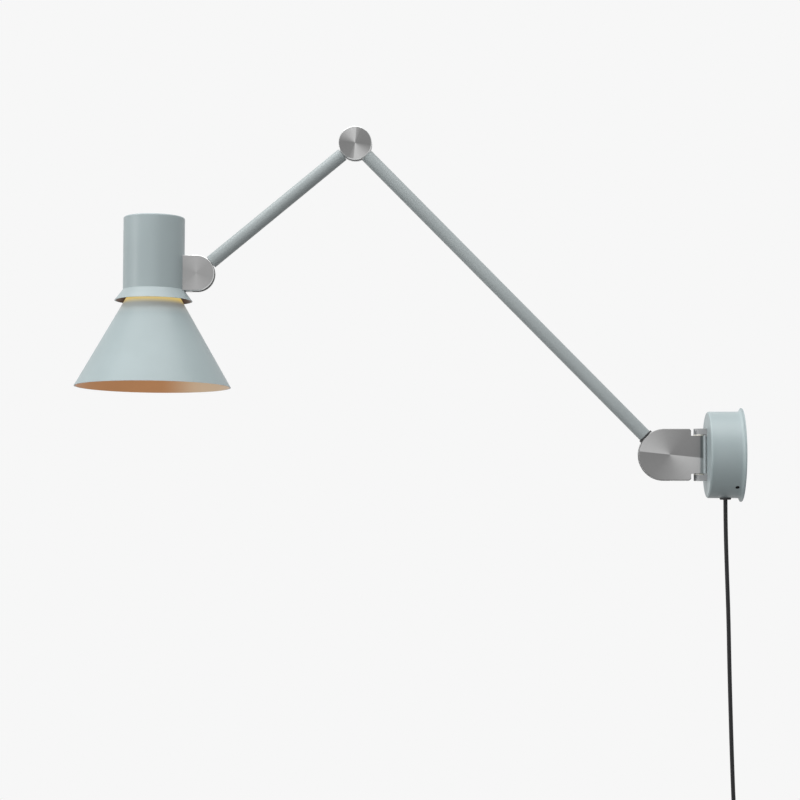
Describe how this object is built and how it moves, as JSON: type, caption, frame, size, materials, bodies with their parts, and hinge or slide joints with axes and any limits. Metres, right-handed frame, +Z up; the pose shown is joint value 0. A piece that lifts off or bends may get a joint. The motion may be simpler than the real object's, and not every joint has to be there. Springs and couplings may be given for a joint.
{
  "type": "articulating wall lamp",
  "caption": "Wall lamp with jointed tube arms on friction knuckles, a round wall cup with a vertical swivel, a cone shade under a flared cap and a thin black lead.",
  "frame": {"origin": "centre of the wall bracket's back face, midway between the two wall screws", "axes": "+X into the wall, +Y along the wall, +Z up; the lamp reaches along -X"},
  "size_m": [0.6324, 0.1478, 0.8115],
  "materials": {
    "brushed_grey_metal": "brushed",
    "satin_paint": "satin paint, the shade copper-brown inside",
    "zinc_plated_steel": "zinc plated",
    "cast_eye": "machined",
    "screw_steel": "turned",
    "black_screw": "black oxide",
    "nylon": "natural",
    "black_plastic": "satin",
    "lead_sheath": "smooth",
    "white_plastic": "satin",
    "brass": "plain",
    "nickel": "nickel plated",
    "bulb_glass": "opal"
  },
  "bodies": {
    "wall_mount": {"wall_bracket": "zinc_plated_steel", "wall_cup": "satin_paint", "cup_grub_screws": "black_screw", "swivel_lug_top": "brushed_grey_metal", "swivel_lug_bottom": "brushed_grey_metal", "swivel_pin": "screw_steel", "swivel_washers": "nylon", "lug_backing_plate": "zinc_plated_steel", "lug_screws": "screw_steel", "terminal_block": "white_plastic", "terminal_inserts": "brass", "lead_bush": "black_plastic", "lead_cores": "lead_sheath", "lead": "lead_sheath", "lead_coil": "lead_sheath", "lead_tail": "lead_sheath", "coil_tie": "black_plastic", "plug_body": "black_plastic", "plug_pins": "nickel"},
    "wall_knuckle": {"wall_knuckle_fork": "brushed_grey_metal", "wall_knuckle_near_cover": "brushed_grey_metal", "wall_knuckle_far_cover": "brushed_grey_metal", "wall_pivot_bolt": "screw_steel", "wall_pivot_washers": "nylon"},
    "lower_arm": {"lower_arm_wall_eye": "cast_eye", "lower_arm_saddle": "black_plastic", "lower_arm_tube": "satin_paint", "elbow_fork": "brushed_grey_metal", "elbow_near_disc": "brushed_grey_metal", "elbow_far_disc": "brushed_grey_metal", "elbow_bolt": "screw_steel", "elbow_washers": "nylon"},
    "upper_arm": {"upper_arm_elbow_eye": "cast_eye", "upper_arm_tube": "satin_paint", "upper_arm_head_eye": "cast_eye"},
    "head": {"head_knuckle_fork": "brushed_grey_metal", "head_knuckle_near_cover": "brushed_grey_metal", "head_knuckle_far_cover": "brushed_grey_metal", "head_pivot_bolt": "screw_steel", "head_pivot_washers": "nylon", "cap_shell": "satin_paint", "lampholder_bracket": "zinc_plated_steel", "knuckle_screws": "screw_steel", "lampholder_nipple": "zinc_plated_steel", "lampholder_nut": "zinc_plated_steel", "lampholder_housing": "white_plastic", "lampholder_skirt": "white_plastic", "lampholder_shell": "brass", "lampholder_contact": "brass", "shade_spider": "zinc_plated_steel", "shade_ring_nut": "white_plastic", "cone_shade": "satin_paint", "bulb_base": "nickel", "bulb_glass": "bulb_glass", "switch_body": "black_plastic", "switch_bezel": "brushed_grey_metal"},
    "button": {"switch_button": "black_plastic"}
  },
  "joints": [
    {"name": "wall_swivel", "type": "hinge", "parent": "wall_mount", "child": "wall_knuckle", "pos_m": [-0.0403, 0, 0], "axis": [0, 0, 1], "range_deg": [-60, 60]},
    {"name": "wall_pivot", "type": "hinge", "parent": "wall_knuckle", "child": "lower_arm", "pos_m": [-0.0734, 0, 0], "axis": [0, 1, 0], "range_deg": [-90, 33]},
    {"name": "elbow", "type": "hinge", "parent": "lower_arm", "child": "upper_arm", "pos_m": [-0.36646, 0, 0.29666], "axis": [0, 1, 0], "range_deg": [-45, 214]},
    {"name": "head_tilt", "type": "hinge", "parent": "upper_arm", "child": "head", "pos_m": [-0.51682, 0, 0.17249], "axis": [0, 1, 0], "range_deg": [-104, 50]},
    {"name": "switch_press", "type": "slide", "parent": "head", "child": "button", "axis": [-0.0052, 0, -1], "range_m": [0, 0.0015], "stiffness_N_per_m": 300}
  ]
}
